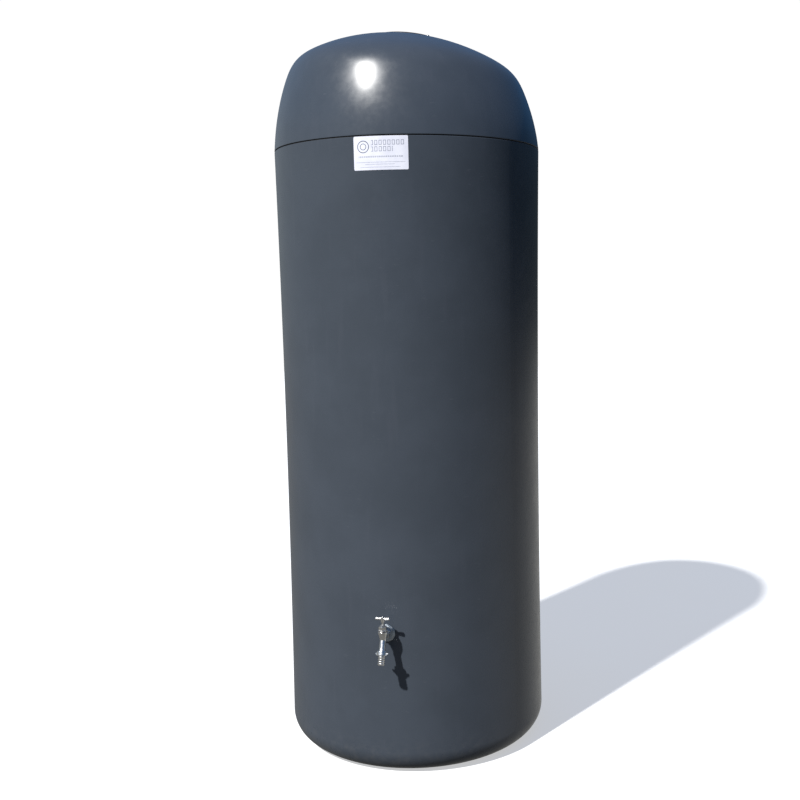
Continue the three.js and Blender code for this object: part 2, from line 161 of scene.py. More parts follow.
def loft(name, rings, closed=False, angle=32):
    """A mesh through rings of points in millimetres. A ring of one point closes an end."""
    points, starts = [], []
    for ring in rings:
        starts.append(len(points))
        points.extend(tuple(c * MM for c in point) for point in ring)
    faces = []
    pairs = list(zip(range(len(rings)), range(1, len(rings))))
    if closed:
        pairs.append((len(rings) - 1, 0))
    for low, high in pairs:
        a, b = starts[low], starts[high]
        count = max(len(rings[low]), len(rings[high]))
        for i in range(count):
            j = (i + 1) % count
            if len(rings[low]) == 1:
                faces.append((a, b + j, b + i))
            elif len(rings[high]) == 1:
                faces.append((a + i, a + j, b))
            else:
                faces.append((a + i, a + j, b + j, b + i))
    mesh = bpy.data.meshes.new(name)
    mesh.from_pydata(points, [], faces)
    mesh.validate()
    smooth(mesh, angle)
    return new_object(name, mesh)


def ring_points(radius, height, segments):
    if radius < 1e-6:
        return [(0.0, 0.0, height)]
    turns = [TURN * i / segments for i in range(segments)]
    return [(radius * math.sin(t), -radius * math.cos(t), height) for t in turns]


def shaped_ring(radius_at, height_at, segments):
    """Points round Z: the radius depends on the turn and the height on the radius."""
    points = []
    for i in range(segments):
        turn = TURN * i / segments
        radius = radius_at(turn)
        points.append((radius * math.sin(turn), -radius * math.cos(turn), height_at(radius)))
    return points


def eased(outline, radius=0.5, steps=3, closed=False):
    """An outline with its corners rounded over about that radius."""
    points = [Vector(p) for p in outline]
    count = len(points)
    result = []
    for i, here in enumerate(points):
        if not closed and i in (0, count - 1):
            result.append(here)
            continue
        before, after = points[i - 1] - here, points[(i + 1) % count] - here
        reach = min(radius, 0.42 * before.length, 0.42 * after.length)
        start, end = here + before.normalized() * reach, here + after.normalized() * reach
        for step in range(steps + 1):
            t = step / steps
            result.append(start * (1 - t) ** 2 + here * (2 * t * (1 - t)) + end * t**2)
    return result


def turned(name, outline, radius=0.5, segments=96, steps=3, angle=32):
    """A turned piece about Z from an outline of (radius, height) that starts and ends on the axis."""
    rings = [ring_points(r, z, segments) for r, z in eased(outline, radius, steps)]
    return loft(name, rings, angle=angle)


def turned_ring(name, outline, radius=0.5, segments=96, steps=3, angle=32):
    """A turned piece with a hole through it, from an outline that closes on itself."""
    rings = [ring_points(r, z, segments) for r, z in eased(outline, radius, steps, closed=True)]
    return loft(name, rings, closed=True, angle=angle)


def sleeve(name, inner, outer, low, high, radius=0.3, segments=96):
    outline = [(inner, low), (outer, low), (outer, high), (inner, high)]
    return turned_ring(name, outline, radius, segments)


def rod(name, radius, low, high, segments=64):
    return loft(name, [ring_points(r, z, segments) for r, z in
                       ((0, low), (radius, low), (radius, high), (0, high))])


def hexagonal(name, flats, low, high, bore, chamfer=0.94, segments=96):
    """A hexagon about Z with turned chamfers at both ends and a round bore."""
    apothem = flats / 2
    circle = apothem / math.cos(math.pi / 6) * chamfer
    slope = math.tan(math.radians(30))
    edge = 0.25

    def across(turn):
        off = turn % (TURN / 6) - TURN / 12
        return apothem / math.cos(off)

    def drop(radius):
        return max(0.0, radius - circle) * slope

    courses = [
        (lambda t: bore, lambda r: low + edge),
        (lambda t: bore + edge, lambda r: low),
        (lambda t: min(circle, across(t)) - edge, lambda r: low),
        (across, lambda r: low + edge + drop(r)),
        (across, lambda r: high - edge - drop(r)),
        (lambda t: min(circle, across(t)) - edge, lambda r: high),
        (lambda t: bore + edge, lambda r: high),
        (lambda t: bore, lambda r: high - edge),
    ]
    rings = [shaped_ring(radius_at, height_at, segments) for radius_at, height_at in courses]
    return loft(name, rings, closed=True, angle=24)


def box(name, low, high, bevel=0.0):
    """A block between two corners in millimetres, with its edges rounded."""
    build = bmesh.new()
    bmesh.ops.create_cube(build, size=1)
    size = Vector(high) - Vector(low)
    centre = (Vector(high) + Vector(low)) / 2
    for vertex in build.verts:
        vertex.co = Vector(c * s + o for c, s, o in zip(vertex.co, size, centre)) * MM
    if bevel:
        bmesh.ops.bevel(build, geom=list(build.edges), offset=bevel * MM, segments=2,
                        affect="EDGES", profile=0.5)
    block = finished(name, build)
    smooth(block.data)
    return block


def extruded(name, outline, thickness):
    """A flat outline of (radius, height) points, given a thickness across its own plane."""
    half = thickness / 2
    build = bmesh.new()
    sides = []
    for offset in (-half, half):
        sides.append([build.verts.new(Vector((x, offset, z)) * MM) for x, z in outline])
    build.faces.new(sides[0])
    build.faces.new(list(reversed(sides[1])))
    count = len(outline)
    for i in range(count):
        j = (i + 1) % count
        build.faces.new((sides[0][j], sides[0][i], sides[1][i], sides[1][j]))
    bmesh.ops.recalc_face_normals(build, faces=build.faces)
    plate = finished(name, build)
    smooth(plate.data)
    return plate


def moved(piece, matrix):
    piece.data.transform(matrix)
    return piece


def spun(piece, turn):
    return moved(piece, Matrix.Rotation(turn, 4, "Z"))


def shifted(piece, x, y, z):
    return moved(piece, Matrix.Translation(Vector((x, y, z)) * MM))


ALONG_Y = Matrix.Rotation(-math.pi / 2, 4, "X")


def applied(piece):
    """The piece with its modifiers made real."""
    view = bpy.context.evaluated_depsgraph_get()
    mesh = bpy.data.meshes.new_from_object(piece.evaluated_get(view))
    piece.modifiers.clear()
    piece.data = mesh
    return piece


def combined(piece, others, operation, angle=32):
    """The piece joined with, or cut by, other closed pieces, which are used up."""
    for other in others:
        step = piece.modifiers.new(operation, "BOOLEAN")
        step.operation = operation
        step.solver = "EXACT"
        step.object = other
    bpy.context.view_layer.update()
    applied(piece)
    for other in others:
        bpy.data.objects.remove(other)
    build = bmesh.new()
    build.from_mesh(piece.data)
    bmesh.ops.remove_doubles(build, verts=build.verts, dist=1e-6)
    bmesh.ops.dissolve_degenerate(build, edges=build.edges, dist=1e-6)
    build.to_mesh(piece.data)
    build.free()
    smooth(piece.data, angle)
    return piece


def joined(piece, *others, angle=32):
    return combined(piece, others, "UNION", angle)


def cut(piece, *tools, angle=32):
    return combined(piece, tools, "DIFFERENCE", angle)


def cast(piece, voxel, rounds):
    """Melts a piece's parts into one skin with soft fillets, as a casting has."""
    remesh = piece.modifiers.new("skin", "REMESH")
    remesh.mode = "VOXEL"
    remesh.voxel_size = voxel * MM
    relax = piece.modifiers.new("fillets", "SMOOTH")
    relax.factor = 0.5
    relax.iterations = rounds
    bpy.context.view_layer.update()
    applied(piece)
    piece.data.shade_smooth()
    return piece


def shown(piece, body, slot, *nodes):
    """Gives a piece its slot's finish, the body it moves with and the nodes it stands for."""
    piece.data.materials.clear()
    piece.data.materials.append(finishes[slot])
    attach(piece, body)
    if nodes:
        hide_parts(*nodes)
    return piece


# ---- materials


class Nodes:
    """A small helper to write a node tree in a readable way."""

    def __init__(self, owner):
        owner.use_nodes = True
        self.tree = owner.node_tree

    def add(self, kind, inputs=None, **settings):
        """A node with its settings and its inputs, each a value or another node's output."""
        node = self.tree.nodes.new(kind)
        for key, value in settings.items():
            setattr(node, key, value)
        for key, value in (inputs or {}).items():
            self.feed(node.inputs[key], value)
        return node

    def feed(self, socket, value):
        """Gives an input its number, its colour or the output that it follows."""
        if isinstance(value, bpy.types.NodeSocket):
            self.tree.links.new(value, socket)
        elif socket.type == "RGBA":
            socket.default_value = (*value, 1.0)
        else:
            socket.default_value = value

    def mix(self, share, first, second):
        """A colour between two colours."""
        node = self.add("ShaderNodeMix", {"Factor": share}, data_type="RGBA")
        colours = [s for s in node.inputs if s.type == "RGBA"]
        self.feed(colours[0], first)
        self.feed(colours[1], second)
        return next(s for s in node.outputs if s.type == "RGBA")


class Finish(Nodes):
    """A material, with its patterns laid out in the object's own metres."""

    def __init__(self, name):
        self.material = bpy.data.materials.new(name)
        super().__init__(self.material)
        self.shader = self.tree.nodes["Principled BSDF"]
        self.place = self.add("ShaderNodeTexCoord").outputs["Object"]

    def scaled(self, x, y, z):
        """The object's own place, stretched along its axes."""
        inputs = {"Scale": (x, y, z), "Vector": self.place}
        return self.add("ShaderNodeMapping", inputs).outputs["Vector"]

    def noise(self, size, detail=3.0, roughness=0.55, source=None):
        """Noise whose lumps are about that many metres across."""
        inputs = {"Scale": 1 / size, "Detail": detail, "Roughness": roughness,
                  "Vector": source or self.place}
        return self.add("ShaderNodeTexNoise", inputs).outputs["Fac"]

    def cells(self, size):
        """The distance to scattered points, about that many metres apart."""
        inputs = {"Scale": 1 / size, "Vector": self.place}
        return self.add("ShaderNodeTexVoronoi", inputs).outputs["Distance"]

    def ramp(self, source, low, high, start=0.0, end=1.0):
        """source between low and high, spread over start to end."""
        inputs = {"From Min": low, "From Max": high, "To Min": start, "To Max": end,
                  "Value": source}
        node = self.add("ShaderNodeMapRange", inputs, interpolation_type="SMOOTHSTEP")
        return node.outputs["Result"]

    def math(self, operation, first, second=0.0):
        node = self.add("ShaderNodeMath", {0: first, 1: second}, operation=operation)
        return node.outputs["Value"]

    def product(self, *values):
        result = values[0]
        for value in values[1:]:
            result = self.math("MULTIPLY", result, value)
        return result

    def axis(self, name):
        return self.add("ShaderNodeSeparateXYZ", {"Vector": self.place}).outputs[name]

    def bumps(self, *layers):
        """Bumps on bumps: each layer is a height and how many metres it stands."""
        below = {}
        for height, depth in layers:
            inputs = {"Strength": 1.0, "Distance": depth, "Height": height, **below}
            below = {"Normal": self.add("ShaderNodeBump", inputs).outputs["Normal"]}
        self.feed(self.shader.inputs["Normal"], below["Normal"])

    def set(self, **values):
        """Sets the shader's inputs, named as Blender does but with _ for a space."""
        for key, value in values.items():
            self.feed(self.shader.inputs[key.replace("_", " ")], value)
        return self.material


def shell_plastic(name):
    """Slate-grey rotomoulded polyethylene: satin, a little wavy, with scuffs, haze and dust."""
    m = Finish(name)
    tone = m.noise(0.16, 4)
    streak = m.noise(0.035, 3, source=m.scaled(1, 1, 0.12))
    deep, pale = (0.0465, 0.0565, 0.072), (0.0525, 0.0635, 0.081)
    colour = m.mix(m.ramp(tone, 0.3, 0.7), deep, pale)
    colour = m.mix(m.ramp(streak, 0.56, 0.74, 0, 0.25), colour, (0.064, 0.073, 0.092))
    scuffs = m.noise(0.010, 5, 0.7, m.scaled(0.3, 0.3, 1.6))
    scuffed = m.product(m.ramp(scuffs, 0.60, 0.70), m.ramp(m.noise(0.12, 3), 0.52, 0.66))
    colour = m.mix(m.product(scuffed, 0.2), colour, (0.12, 0.13, 0.15))
    height = m.axis("Z")
    near_ground = m.product(m.ramp(height, 0.14, 0.0, 0, 1),
                            m.ramp(m.noise(0.02, 5, 0.65), 0.4, 0.75))
    colour = m.mix(m.product(near_ground, 0.3), colour, (0.13, 0.125, 0.12))
    haze = m.ramp(m.noise(0.022, 5, 0.6), 0.35, 0.72)
    rough = m.ramp(m.noise(0.07, 3), 0.3, 0.7, 0.235, 0.27)
    for mark, rise in ((haze, 0.045), (scuffed, 0.12), (near_ground, 0.15)):
        rough = m.math("ADD", rough, m.product(mark, rise))
    m.bumps(
        (m.noise(0.26, 1), 0.0010),
        (m.noise(0.055, 2), 0.00014),
        (witness_lines(m), 0.00009),
        (m.noise(0.0022, 2), 0.000012),
        (scuffs, 0.00002),
    )
    return m.set(Base_Color=colour, Roughness=rough, IOR=1.5)


def witness_lines(m):
    """Fine raised lines left by the mould: one high on the front and two short ones low down."""
    turn = m.math("ARCTAN2", m.axis("X"), m.product(m.axis("Y"), -1.0))
    height = m.axis("Z")
    total, fade = None, 0.03
    for low_turn, high_turn, start, fall, thick in (
        (-23.0, 2.0, 1.5575, -0.0117, 0.0011),
        (-13.0, -5.0, 0.107, 0.0, 0.0016),
        (-14.0, -2.0, 0.086, 0.0, 0.0014),
    ):
        level = m.math("ADD", m.product(turn, fall), start)
        off = m.math("ABSOLUTE", m.math("SUBTRACT", height, level))
        low_turn, high_turn = math.radians(low_turn), math.radians(high_turn)
        line = m.product(m.ramp(off, thick, 0.0), m.ramp(turn, low_turn - fade, low_turn + fade),
                         m.ramp(turn, high_turn + fade, high_turn - fade))
        total = line if total is None else m.math("MAXIMUM", total, line)
    return total


def plated(name, tint, low, high):
    """Plated brass: a bright skin with faint casting texture, water marks and worn dullness."""
    m = Finish(name)
    stain = m.product(m.ramp(m.cells(0.007), 0.22, 0.3), m.ramp(m.noise(0.006, 3), 0.45, 0.65))
    dull = tuple(c * 0.72 for c in tint)
    colour = m.mix(m.ramp(m.noise(0.008, 5), 0.3, 0.75), tint, dull)
    colour = m.mix(m.product(stain, 0.35), colour, (0.62, 0.6, 0.55))
    rough = m.ramp(m.noise(0.004, 4), 0.3, 0.7, low, high)
    rough = m.math("ADD", rough, m.product(stain, 0.12))
    m.bumps((m.noise(0.0035, 3), 0.00005), (m.noise(0.0006, 2), 0.000006))
    return m.set(Base_Color=colour, Roughness=rough, Metallic=1.0)


def dull_plastic(name, colour, rough, grain=0.0005):
    m = Finish(name)
    dusty = tuple(0.8 * c + 0.035 for c in colour)
    m.bumps((m.noise(0.02, 2), 0.0002), (m.noise(grain, 2), 0.00002))
    return m.set(
        Base_Color=m.mix(m.ramp(m.noise(0.02, 4), 0.35, 0.75), colour, dusty),
        Roughness=m.ramp(m.noise(0.006, 3), 0.3, 0.7, rough - 0.06, rough + 0.08),
        IOR=1.48)


def rubber_finish():
    m = Finish("rubber")
    bloom = m.ramp(m.noise(0.005, 4), 0.35, 0.7)
    m.bumps((m.noise(0.0008, 3), 0.00003))
    return m.set(
        Base_Color=m.mix(bloom, (0.011, 0.011, 0.012), (0.034, 0.033, 0.032)),
        Roughness=m.ramp(m.noise(0.003, 3), 0.3, 0.7, 0.68, 0.86))


def steel_finish(name, tint, rough):
    m = Finish(name)
    dull = tuple(0.7 * c for c in tint)
    m.bumps((m.noise(0.0012, 2), 0.000015))
    return m.set(
        Base_Color=m.mix(m.ramp(m.noise(0.01, 4), 0.35, 0.7), tint, dull),
        Roughness=m.ramp(m.noise(0.003, 3), 0.3, 0.7, rough - 0.06, rough + 0.1),
        Metallic=1.0)


def label_finish(centre, width, height):
    """A pale coated label printed with two plain rings and rows of dashes, and no lettering."""
    m = Finish("label_print")
    soft = 1e-4
    across = m.math("SUBTRACT", m.axis("X"), centre.x * MM)
    up = m.math("SUBTRACT", m.axis("Z"), centre.z * MM)

    def bar(left, right, low, high):
        """A rectangle in millimetres from the label's middle, as a mask."""
        return m.product(m.ramp(across, left * MM - soft, left * MM + soft),
                         m.ramp(across, right * MM + soft, right * MM - soft),
                         m.ramp(up, low * MM - soft, low * MM + soft),
                         m.ramp(up, high * MM + soft, high * MM - soft))

    def row(left, right, low, high, dash, space, stroke=None):
        """A bar broken into dashes, each one only an outline if it is given a stroke."""
        phase = m.math("MODULO", m.math("ADD", across, 1.0), (dash + space) * MM)
        mask = m.product(bar(left, right, low, high),
                         m.ramp(phase, dash * MM, dash * MM - soft))
        if stroke:
            hollow = m.product(m.ramp(phase, stroke * MM - soft, stroke * MM),
                               m.ramp(phase, (dash - stroke) * MM, (dash - stroke) * MM - soft),
                               bar(left, right, low + stroke, high - stroke))
            mask = m.math("SUBTRACT", mask, m.product(hollow, mask))
        return mask

    def ring(x, z, radius, width):
        dx = m.math("SUBTRACT", across, x * MM)
        dz = m.math("SUBTRACT", up, z * MM)
        far = m.math("SQRT", m.math("ADD", m.product(dx, dx), m.product(dz, dz)))
        off = m.math("ABSOLUTE", m.math("SUBTRACT", far, radius * MM))
        return m.ramp(off, width / 2 * MM + soft, width / 2 * MM)

    half = width / 2
    top = height / 2
    dark = [
        ring(-half + 27, top - 28, 15.5, 2.0),
        ring(-half + 27, top - 28, 8.0, 1.6),
    ]
    fine = [
        row(-half + 50, half - 9, top - 24, top - 11, 8.0, 4.0, 1.5),
        row(-half + 50, half - 41, top - 41, top - 28, 8.0, 4.0, 1.5),
        row(-half + 14, half - 14, top - 56.5, top - 53, 4.2, 1.8, 1.0),
        row(-half + 8, half - 8, top - 70, top - 68.8, 2.6, 1.0),
        row(-half + 32, half - 36, top - 75.5, top - 74.3, 2.6, 1.0),
        row(-half + 18, half - 22, top - 83, top - 81.8, 2.6, 1.0),
    ]
    colour = m.mix(m.ramp(m.noise(0.03, 3), 0.35, 0.7), (0.80, 0.81, 0.90), (0.72, 0.73, 0.83))
    for masks, ink in ((dark, (0.10, 0.12, 0.17)), (fine, (0.26, 0.28, 0.34))):
        total = masks[0]
        for mask in masks[1:]:
            total = m.math("MAXIMUM", total, mask)
        colour = m.mix(total, colour, ink)
    m.bumps((m.noise(0.03, 2), 0.00025), (m.noise(0.004, 2), 0.00001))
    rough = m.ramp(m.noise(0.012, 3), 0.3, 0.7, 0.34, 0.48)
    return m.set(Base_Color=colour, Roughness=rough, IOR=1.5)


finishes = {
    "shell": shell_plastic("slate_polyethylene"),
    "nickel": plated("nickel_plate", (0.88, 0.87, 0.85), 0.24, 0.33),
    # Painted reflection: the darker blue-grey tint of this nickel plate stands in for reflected blue
    # sky; the plate itself is plain nickel.
    "satin_nickel": plated("satin_nickel_plate", (0.48, 0.54, 0.60), 0.36, 0.46),
    "black_plastic": dull_plastic("black_plastic", (0.014, 0.015, 0.017), 0.5),
    "grey_plastic": dull_plastic("grey_plastic", (0.22, 0.235, 0.25), 0.42),
    "fibre": dull_plastic("pressed_fibre", (0.045, 0.033, 0.027), 0.8, 0.0003),
    "rubber": rubber_finish(),
    "stainless": steel_finish("stainless", (0.56, 0.56, 0.55), 0.28),
    "steel_mesh": steel_finish("mesh_steel", (0.45, 0.46, 0.47), 0.36),
}


# ---- the shell


def shell_outline():
    """The shell's outline from the middle of its base, over the neck and back down inside."""
    foot_steps, wall_steps = 20, 48
    foot_radius = shell_radius(FOOT_ROUND) - FOOT_ROUND
    outside, inside = [(0, 0)], []
    for i in range(foot_steps + 1):
        turn = math.pi / 2 * i / foot_steps
        outside.append((foot_radius + FOOT_ROUND * math.sin(turn),
                        FOOT_ROUND * (1 - math.cos(turn))))
        bend = FOOT_ROUND - WALL
        inside.append((foot_radius + bend * math.sin(turn), FOOT_ROUND - bend * math.cos(turn)))
    heights = [FOOT_ROUND + (SHOULDER - FOOT_ROUND) * i / wall_steps for i in range(1, wall_steps)]
    outside += [(shell_radius(z), z) for z in heights]
    inside += [(shell_radius(z) - WALL, z) for z in heights if z < SHOULDER - 3 * WALL]
    seam = [(SEAM_RADIUS - 0.05, SHOULDER - 1.2), (SEAM_RADIUS - 1.0, SHOULDER)]
    neck = SEAM_RADIUS - LEDGE
    rise = [(neck + 1.5, SHOULDER), (neck, SHOULDER + 1.5),
            (neck - NECK_LEAN, NECK_TOP - 2.4), (neck - NECK_LEAN - 2.4, NECK_TOP),
            (neck - NECK_LEAN - WALL + 2.4, NECK_TOP), (neck - NECK_LEAN - WALL, NECK_TOP - 2.4),
            (neck - WALL, SHOULDER - WALL), (SEAM_RADIUS - WALL, SHOULDER - 2.2 * WALL)]
    return outside, seam + rise, list(reversed(inside)) + [(0, WALL)]


def make_shell():
    outside, rim, inside = shell_outline()
    outline = outside + [tuple(p) for p in eased(rim, 1.0, 3)] + inside
    shell = loft("shell", [ring_points(r, z, 256) for r, z in outline])
    tap_hole = moved(rod("tap_hole", 13.7, -SEAM_RADIUS - 10, -SEAM_RADIUS + 40), ALONG_Y)
    overflow_hole = moved(rod("overflow_hole", 25.7, SEAM_RADIUS - 40, SEAM_RADIUS + 10), ALONG_Y)
    shifted(tap_hole, 0, 0, TAP.z)
    shifted(overflow_hole, 0, 0, OVERFLOW.z)
    cut(shell, tap_hole, overflow_hole)
    shown(shell, "barrel", "shell", "barrel_shell")


def make_label():
    """A thin sheet with rounded corners, bent to the wall."""
    low, high = span("barrel_label")
    centre = (low + high) / 2
    width, height = high.x - low.x, high.z - low.z
    columns, rows, corner = 60, 24, 3.0
    front, back = [], []
    build = bmesh.new()
    for j in range(rows + 1):
        for i in range(columns + 1):
            x = low.x + width * i / columns
            z = low.z + height * j / rows
            nearest_x = min(max(x, low.x + corner), high.x - corner)
            nearest_z = min(max(z, low.z + corner), high.z - corner)
            out = Vector((x - nearest_x, z - nearest_z))
            if out.x and out.y and out.length > corner:
                out *= corner / out.length
                x, z = nearest_x + out.x, nearest_z + out.y
            wall = shell_radius(z)
            for sheet, lift in ((front, 0.35), (back, 0.05)):
                reach = wall + lift
                sheet.append(build.verts.new(
                    Vector((x, -math.sqrt(reach**2 - x**2), z)) * MM))
    width_count = columns + 1

    def quads(sheet, flip):
        for j in range(rows):
            for i in range(columns):
                a = j * width_count + i
                corners = [sheet[a], sheet[a + 1], sheet[a + 1 + width_count], sheet[a + width_count]]
                build.faces.new(corners[::-1] if flip else corners)

    quads(front, False)
    quads(back, True)
    rim = list(range(width_count))
    rim += [j * width_count + columns for j in range(1, rows + 1)]
    rim += [rows * width_count + i for i in range(columns - 1, -1, -1)]
    rim += [j * width_count for j in range(rows - 1, 0, -1)]
    for here, there in zip(rim, rim[1:] + rim[:1]):
        build.faces.new((front[there], front[here], back[here], back[there]))
    bmesh.ops.recalc_face_normals(build, faces=build.faces)
    label = finished("label", build)
    smooth(label.data, 40)
    finishes["label"] = label_finish(centre, width, height)
    shown(label, "barrel", "label", "barrel_label")


def make_seal():
    """The lid's seal: a soft flat ring with a fine lip."""
    outline = [
        (SEAM_RADIUS - WALL - 0.5, seal_low.z),
        (seal_high.x, seal_low.z),
        (seal_high.x - 0.5, (seal_low.z + seal_high.z) / 2),
        (seal_high.x, seal_high.z),
        (SEAM_RADIUS - WALL - 0.5, seal_high.z),
    ]
    seal = turned_ring("seal", outline, 0.4, segments=192)
    shown(seal, "barrel", "rubber", "lid_seal")


# ---- the lid


def lid_curve():
    """The lid's outline outside, from the rim to the axis."""
    points = [(SEAM_RADIUS, LID_RIM, LID_LEAN)]

    def sweep(arc, end, steps):
        radius, height, start = points[-1]
        for i in range(1, steps + 1):
            heading = start + (end - start) * i / steps
            points.append((radius - arc * (math.cos(start) - math.cos(heading)),
                           height + arc * (math.sin(heading) - math.sin(start)), heading))

    sweep(LID_FLANK_RADIUS, LID_FLANK_END, 44)
    sweep(LID_BROW_RADIUS, LID_BROW_END, 14)
    sweep(points[-1][0] / math.cos(LID_BROW_END), math.pi / 2, 64)
    return softened([(radius, height) for radius, height, _ in points], 30)


def softened(outline, rounds):
    """An outline with its bends spread out along it and its two ends kept in place."""
    points = [Vector(p) for p in outline]
    for _ in range(rounds):
        between = [(a + 2 * b + c) / 4 for a, b, c in zip(points, points[1:], points[2:])]
        points = [points[0], *between, points[-1]]
    return points


def inset(outline, depth):
    """An outline of (radius, height) drawn in by a depth, square to itself."""
    result = []
    for i, here in enumerate(outline):
        along = outline[min(i + 1, len(outline) - 1)] - outline[max(i - 1, 0)]
        result.append(here + depth * Vector((-along.y, along.x)).normalized())
    return result


def lid_fall(x, height, top):
    """How far the lid's slope lowers a point at x."""
    rise = min(max((height - LID_RIM) / (top - LID_RIM), 0.0), 1.0)
    return LID_SLOPE * x * (1 - (1 - rise) ** 2)


SEAT = Matrix.Translation(SEAT_POINT * MM) @ Vector((0, 0, 1)).rotation_difference(
    SEAT_NORMAL).to_matrix().to_4x4()


def make_lid():
    outside = lid_curve()
    top = outside[-1].y
    outside[-1].x = 0
    inside = inset(outside, WALL)
    inside[0].y = LID_RIM
    inside[-1].x = 0
    rim = eased([inside[2], inside[0], outside[0], outside[1]], 1.1, 4)
    outline = [tuple(p) for p in (*reversed(inside[3:]), *rim, *outside[2:])]
    rings = []
    for radius, height in outline:
        ring = ring_points(radius, height, 256)
        rings.append([(x, y, z - lid_fall(x, height, top)) for x, y, z in ring])
    lid = loft("lid", rings)
    land = moved(sleeve("land", THROAT_RADIUS, RECESS_RADIUS, SEAT_FLOOR - 10, SEAT_FLOOR,
                        0.8, 128), SEAT)
    clear = moved(rod("clear", RECESS_RADIUS, SEAT_FLOOR, 20, 128), SEAT)
    throat = moved(rod("throat", THROAT_RADIUS, -40, 20, 128), SEAT)
    joined(lid, land)
    cut(lid, clear, throat)
    shown(lid, "lid", "shell", "dome_lid")


def make_inlet_ring():
    outline = [(90, RING_FOOT), (118, RING_FOOT), (118, RING_FOOT + 3.2), (115.2, RING_TOP),
               (105, RING_TOP), (103.9, RING_TOP - 1), (103.9, RING_LEDGE), (90, RING_LEDGE)]
    ring = moved(turned_ring("inlet_ring_trim", outline, 0.7, 192), SEAT)
    shown(ring, "lid", "black_plastic", "inlet_ring")


def make_inlet_screws():
    """Pan-headed screws with a cross recess."""
    count = sum(1 for name in frame["nodes"] if name.startswith("inlet_screw_"))
    head = RING_TOP + GAP
    for i in range(count):
        turn = TURN * (i + 0.5) / count
        screw = turned(f"ring_screw_{i + 1}", [
            (0, head - 15), (1.9, head - 13.5), (1.9, head), (4, head), (3.8, head + 1.1),
            (2.6, head + 2.0), (0, head + 2.2)], 0.3, 48)
        slots = [box("slot", (-2, -0.35, head + 0.9), (2, 0.35, head + 3)) for _ in range(2)]
        spun(slots[1], math.pi / 2)
        cut(screw, *slots)
        spun(screw, 0.6 + 1.7 * i)
        shifted(screw, SCREW_CIRCLE * math.cos(turn), SCREW_CIRCLE * math.sin(turn), 0)
        moved(screw, SEAT)
        shown(screw, "lid", "stainless", f"inlet_screw_{i + 1}")


# ---- the leaf strainer

BASKET_RADIUS, BASKET_FOOT, BASKET_DEPTH = 87.5, 77.5, 104.0


def basket_radius(depth):
    return BASKET_RADIUS + (BASKET_FOOT - BASKET_RADIUS) * depth / BASKET_DEPTH


def make_basket():
    low = RING_LEDGE + GAP
    skirt = turned_ring("basket_frame", [
        (85, low - 12), (87.5, low - 12), (87.5, low), (103.4, low), (103.4, low + 1.7),
        (102.6, low + 2.5), (85, low + 2.5)], 0.5, 160)
    foot = sleeve("foot", BASKET_FOOT - 8, BASKET_FOOT, -BASKET_DEPTH, 4 - BASKET_DEPTH, 0.8, 160)
    extras = [foot]
    ribs = 8
    for i in range(ribs):
        outline = [(basket_radius(15) - 2.5, -15), (basket_radius(15), -15),
                   (basket_radius(BASKET_DEPTH), 1 - BASKET_DEPTH),
                   (basket_radius(BASKET_DEPTH) - 2.5, 1 - BASKET_DEPTH)]
        extras.append(spun(extruded("rib", outline, 5), TURN * i / ribs))
    for turn in (0, math.pi / 2):
        bar = box("bar", (3 - BASKET_FOOT, -2.5, -BASKET_DEPTH),
                  (BASKET_FOOT - 3, 2.5, 4 - BASKET_DEPTH), 0.6)
        extras.append(spun(bar, turn))
    joined(skirt, *extras)
    moved(skirt, SEAT)
    shown(skirt, "strainer", "black_plastic", "strainer_basket")


def wire(build, path, radius, closed=False, sides=4):
    """A round wire along points in millimetres, added to a mesh under construction."""
    rings = []
    count = len(path)
    for i, point in enumerate(path):
        before = path[i - 1] if (i or closed) else point
        after = path[(i + 1) % count] if (i < count - 1 or closed) else point
        along = (after - before).normalized()
        side = along.cross(Vector((0.3, 0.2, 1))).normalized()
        other = along.cross(side)
        rings.append([build.verts.new((point + radius * (
            side * math.cos(TURN * k / sides) + other * math.sin(TURN * k / sides))) * MM)
            for k in range(sides)])
    pairs = list(zip(rings, rings[1:]))
    if closed:
        pairs.append((rings[-1], rings[0]))
    else:
        build.faces.new(rings[0][::-1])
        build.faces.new(rings[-1])
    for here, there in pairs:
        for k in range(sides):
            j = (k + 1) % sides
            build.faces.new((here[k], here[j], there[j], there[k]))


def woven_disc(build, reach, pitch, thick, amplitude, level):
    """Wires both ways across a disc, each going over and under those that it meets."""
    lines = int(reach / pitch)
    for along_x in (True, False):
        for line in range(-lines, lines + 1):
            offset = line * pitch
            half = math.sqrt(max(reach**2 - offset**2, 0))
            steps = max(int(2 * half / pitch * 2), 2)
            path = []
            for i in range(steps + 1):
                s = -half + 2 * half * i / steps
                wave = math.cos(math.pi * s / pitch) * (-1) ** line * (1 if along_x else -1)
                place = (s, offset) if along_x else (offset, s)
                path.append(Vector((*place, level + amplitude * wave)))
            wire(build, path, thick)


